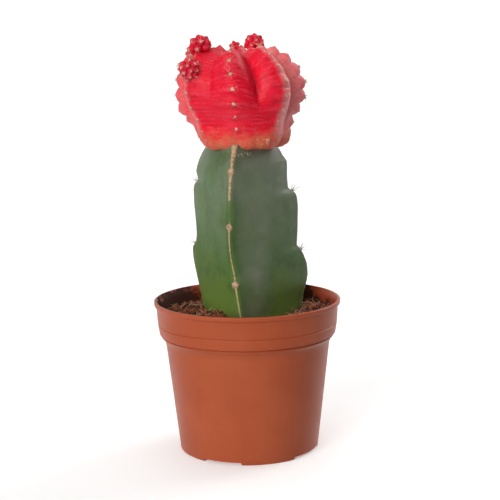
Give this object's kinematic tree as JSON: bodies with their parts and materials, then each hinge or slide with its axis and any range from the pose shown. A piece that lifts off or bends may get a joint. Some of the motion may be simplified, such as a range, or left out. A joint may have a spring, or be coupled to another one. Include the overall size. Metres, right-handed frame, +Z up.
{
  "type": "potted moon cactus",
  "caption": "Grafted moon cactus: a red ribbed scion with small offsets on a three-winged green rootstock, standing in soil in a small round nursery pot.",
  "frame": {"origin": "on the pot's axis, level with the undersides of the pot's feet", "axes": "+Z up along the pot's axis, -Y towards the viewer of the picture, +X to the viewer's right"},
  "size_m": [0.06, 0.06, 0.1328],
  "materials": {
    "pot_plastic": "terracotta-coloured moulded polypropylene, satin-matte",
    "peat": "dark crumbly peat with pale coir fibres, fully matte",
    "green_skin": "grey-green waxy cactus skin with a dull sheen and corky edge lines",
    "red_skin": "bright red cactus skin with a soft sheen, pale wool and straw-coloured spines"
  },
  "bodies": {
    "root": {"pot": "pot_plastic", "soil": "peat", "rootstock": "green_skin", "scion": "red_skin", "offset_left_upper": "red_skin", "offset_left_lower": "red_skin", "offset_left_side": "red_skin", "offset_right": "red_skin", "offset_centre": "red_skin"}
  },
  "joints": []
}
